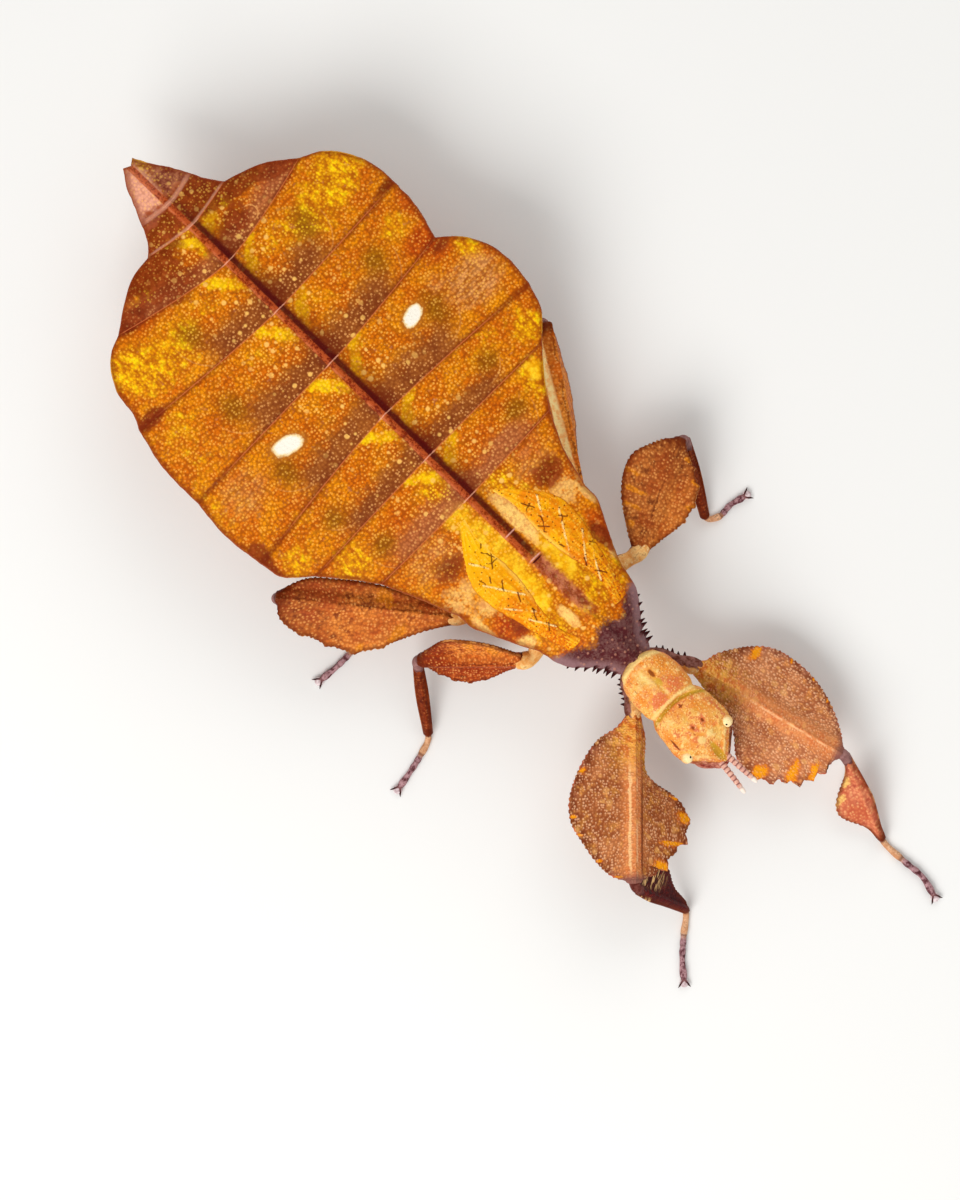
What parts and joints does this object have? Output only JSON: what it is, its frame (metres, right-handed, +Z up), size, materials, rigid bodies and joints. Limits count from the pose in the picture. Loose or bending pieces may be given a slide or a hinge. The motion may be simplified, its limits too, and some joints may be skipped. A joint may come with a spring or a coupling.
{
  "type": "leaf insect",
  "caption": "Life-size leaf insect standing on its own feet, with a broad leaf-like abdomen, short wing pads and lobed, toothed legs.",
  "frame": {"origin": "on the floor under the centre of the insect's overall box, about 3 mm to the insect's right of its midline", "axes": "+X to the insect's left, +Y to the tip of its abdomen, +Z up; the head faces -Y"},
  "size_m": [0.0475, 0.1106, 0.0138],
  "materials": {
    "abdomen": "matte to satin cuticle, orange-brown with pale yellow speckles and dark lines between the segments",
    "metathorax": "satin golden cuticle",
    "mesothorax": "matte dark purple-brown cuticle with pale tubercles",
    "prothorax": "satin yellow-orange cuticle with a pale rear rim",
    "head": "satin yellow-orange cuticle with red mottling",
    "mouthparts": "satin red-brown cuticle",
    "eye": "glossy cream with one small black spot",
    "antenna": "matte pink-brown, ringed",
    "wing_pad": "satin golden yellow with pale veins and dark dashes",
    "coxa": "satin cream cuticle",
    "femur": "matte red-brown cuticle with pale granules and orange spots at the edges",
    "tibia": "matte dark red-brown cuticle",
    "tarsus": "matte brown cuticle with paler bands"
  },
  "bodies": {
    "root": {"abdomen": "abdomen", "metathorax": "metathorax", "mesothorax": "mesothorax", "prothorax": "prothorax", "head": "head", "mouthparts": "mouthparts", "eye_left": "eye", "eye_right": "eye", "antenna_left": "antenna", "antenna_right": "antenna", "wing_pad_left": "wing_pad", "wing_pad_right": "wing_pad", "coxa_fore_left": "coxa", "coxa_fore_right": "coxa", "coxa_mid_left": "coxa", "coxa_mid_right": "coxa", "coxa_hind_left": "coxa", "coxa_hind_right": "coxa", "femur_fore_left": "femur", "femur_fore_right": "femur", "femur_mid_left": "femur", "femur_mid_right": "femur", "femur_hind_left": "femur", "femur_hind_right": "femur", "tibia_fore_left": "tibia", "tibia_fore_right": "tibia", "tibia_mid_left": "tibia", "tibia_mid_right": "tibia", "tibia_hind_left": "tibia", "tibia_hind_right": "tibia", "tarsus_fore_left": "tarsus", "tarsus_fore_right": "tarsus", "tarsus_mid_left": "tarsus", "tarsus_mid_right": "tarsus", "tarsus_hind_left": "tarsus", "tarsus_hind_right": "tarsus"}
  },
  "joints": []
}
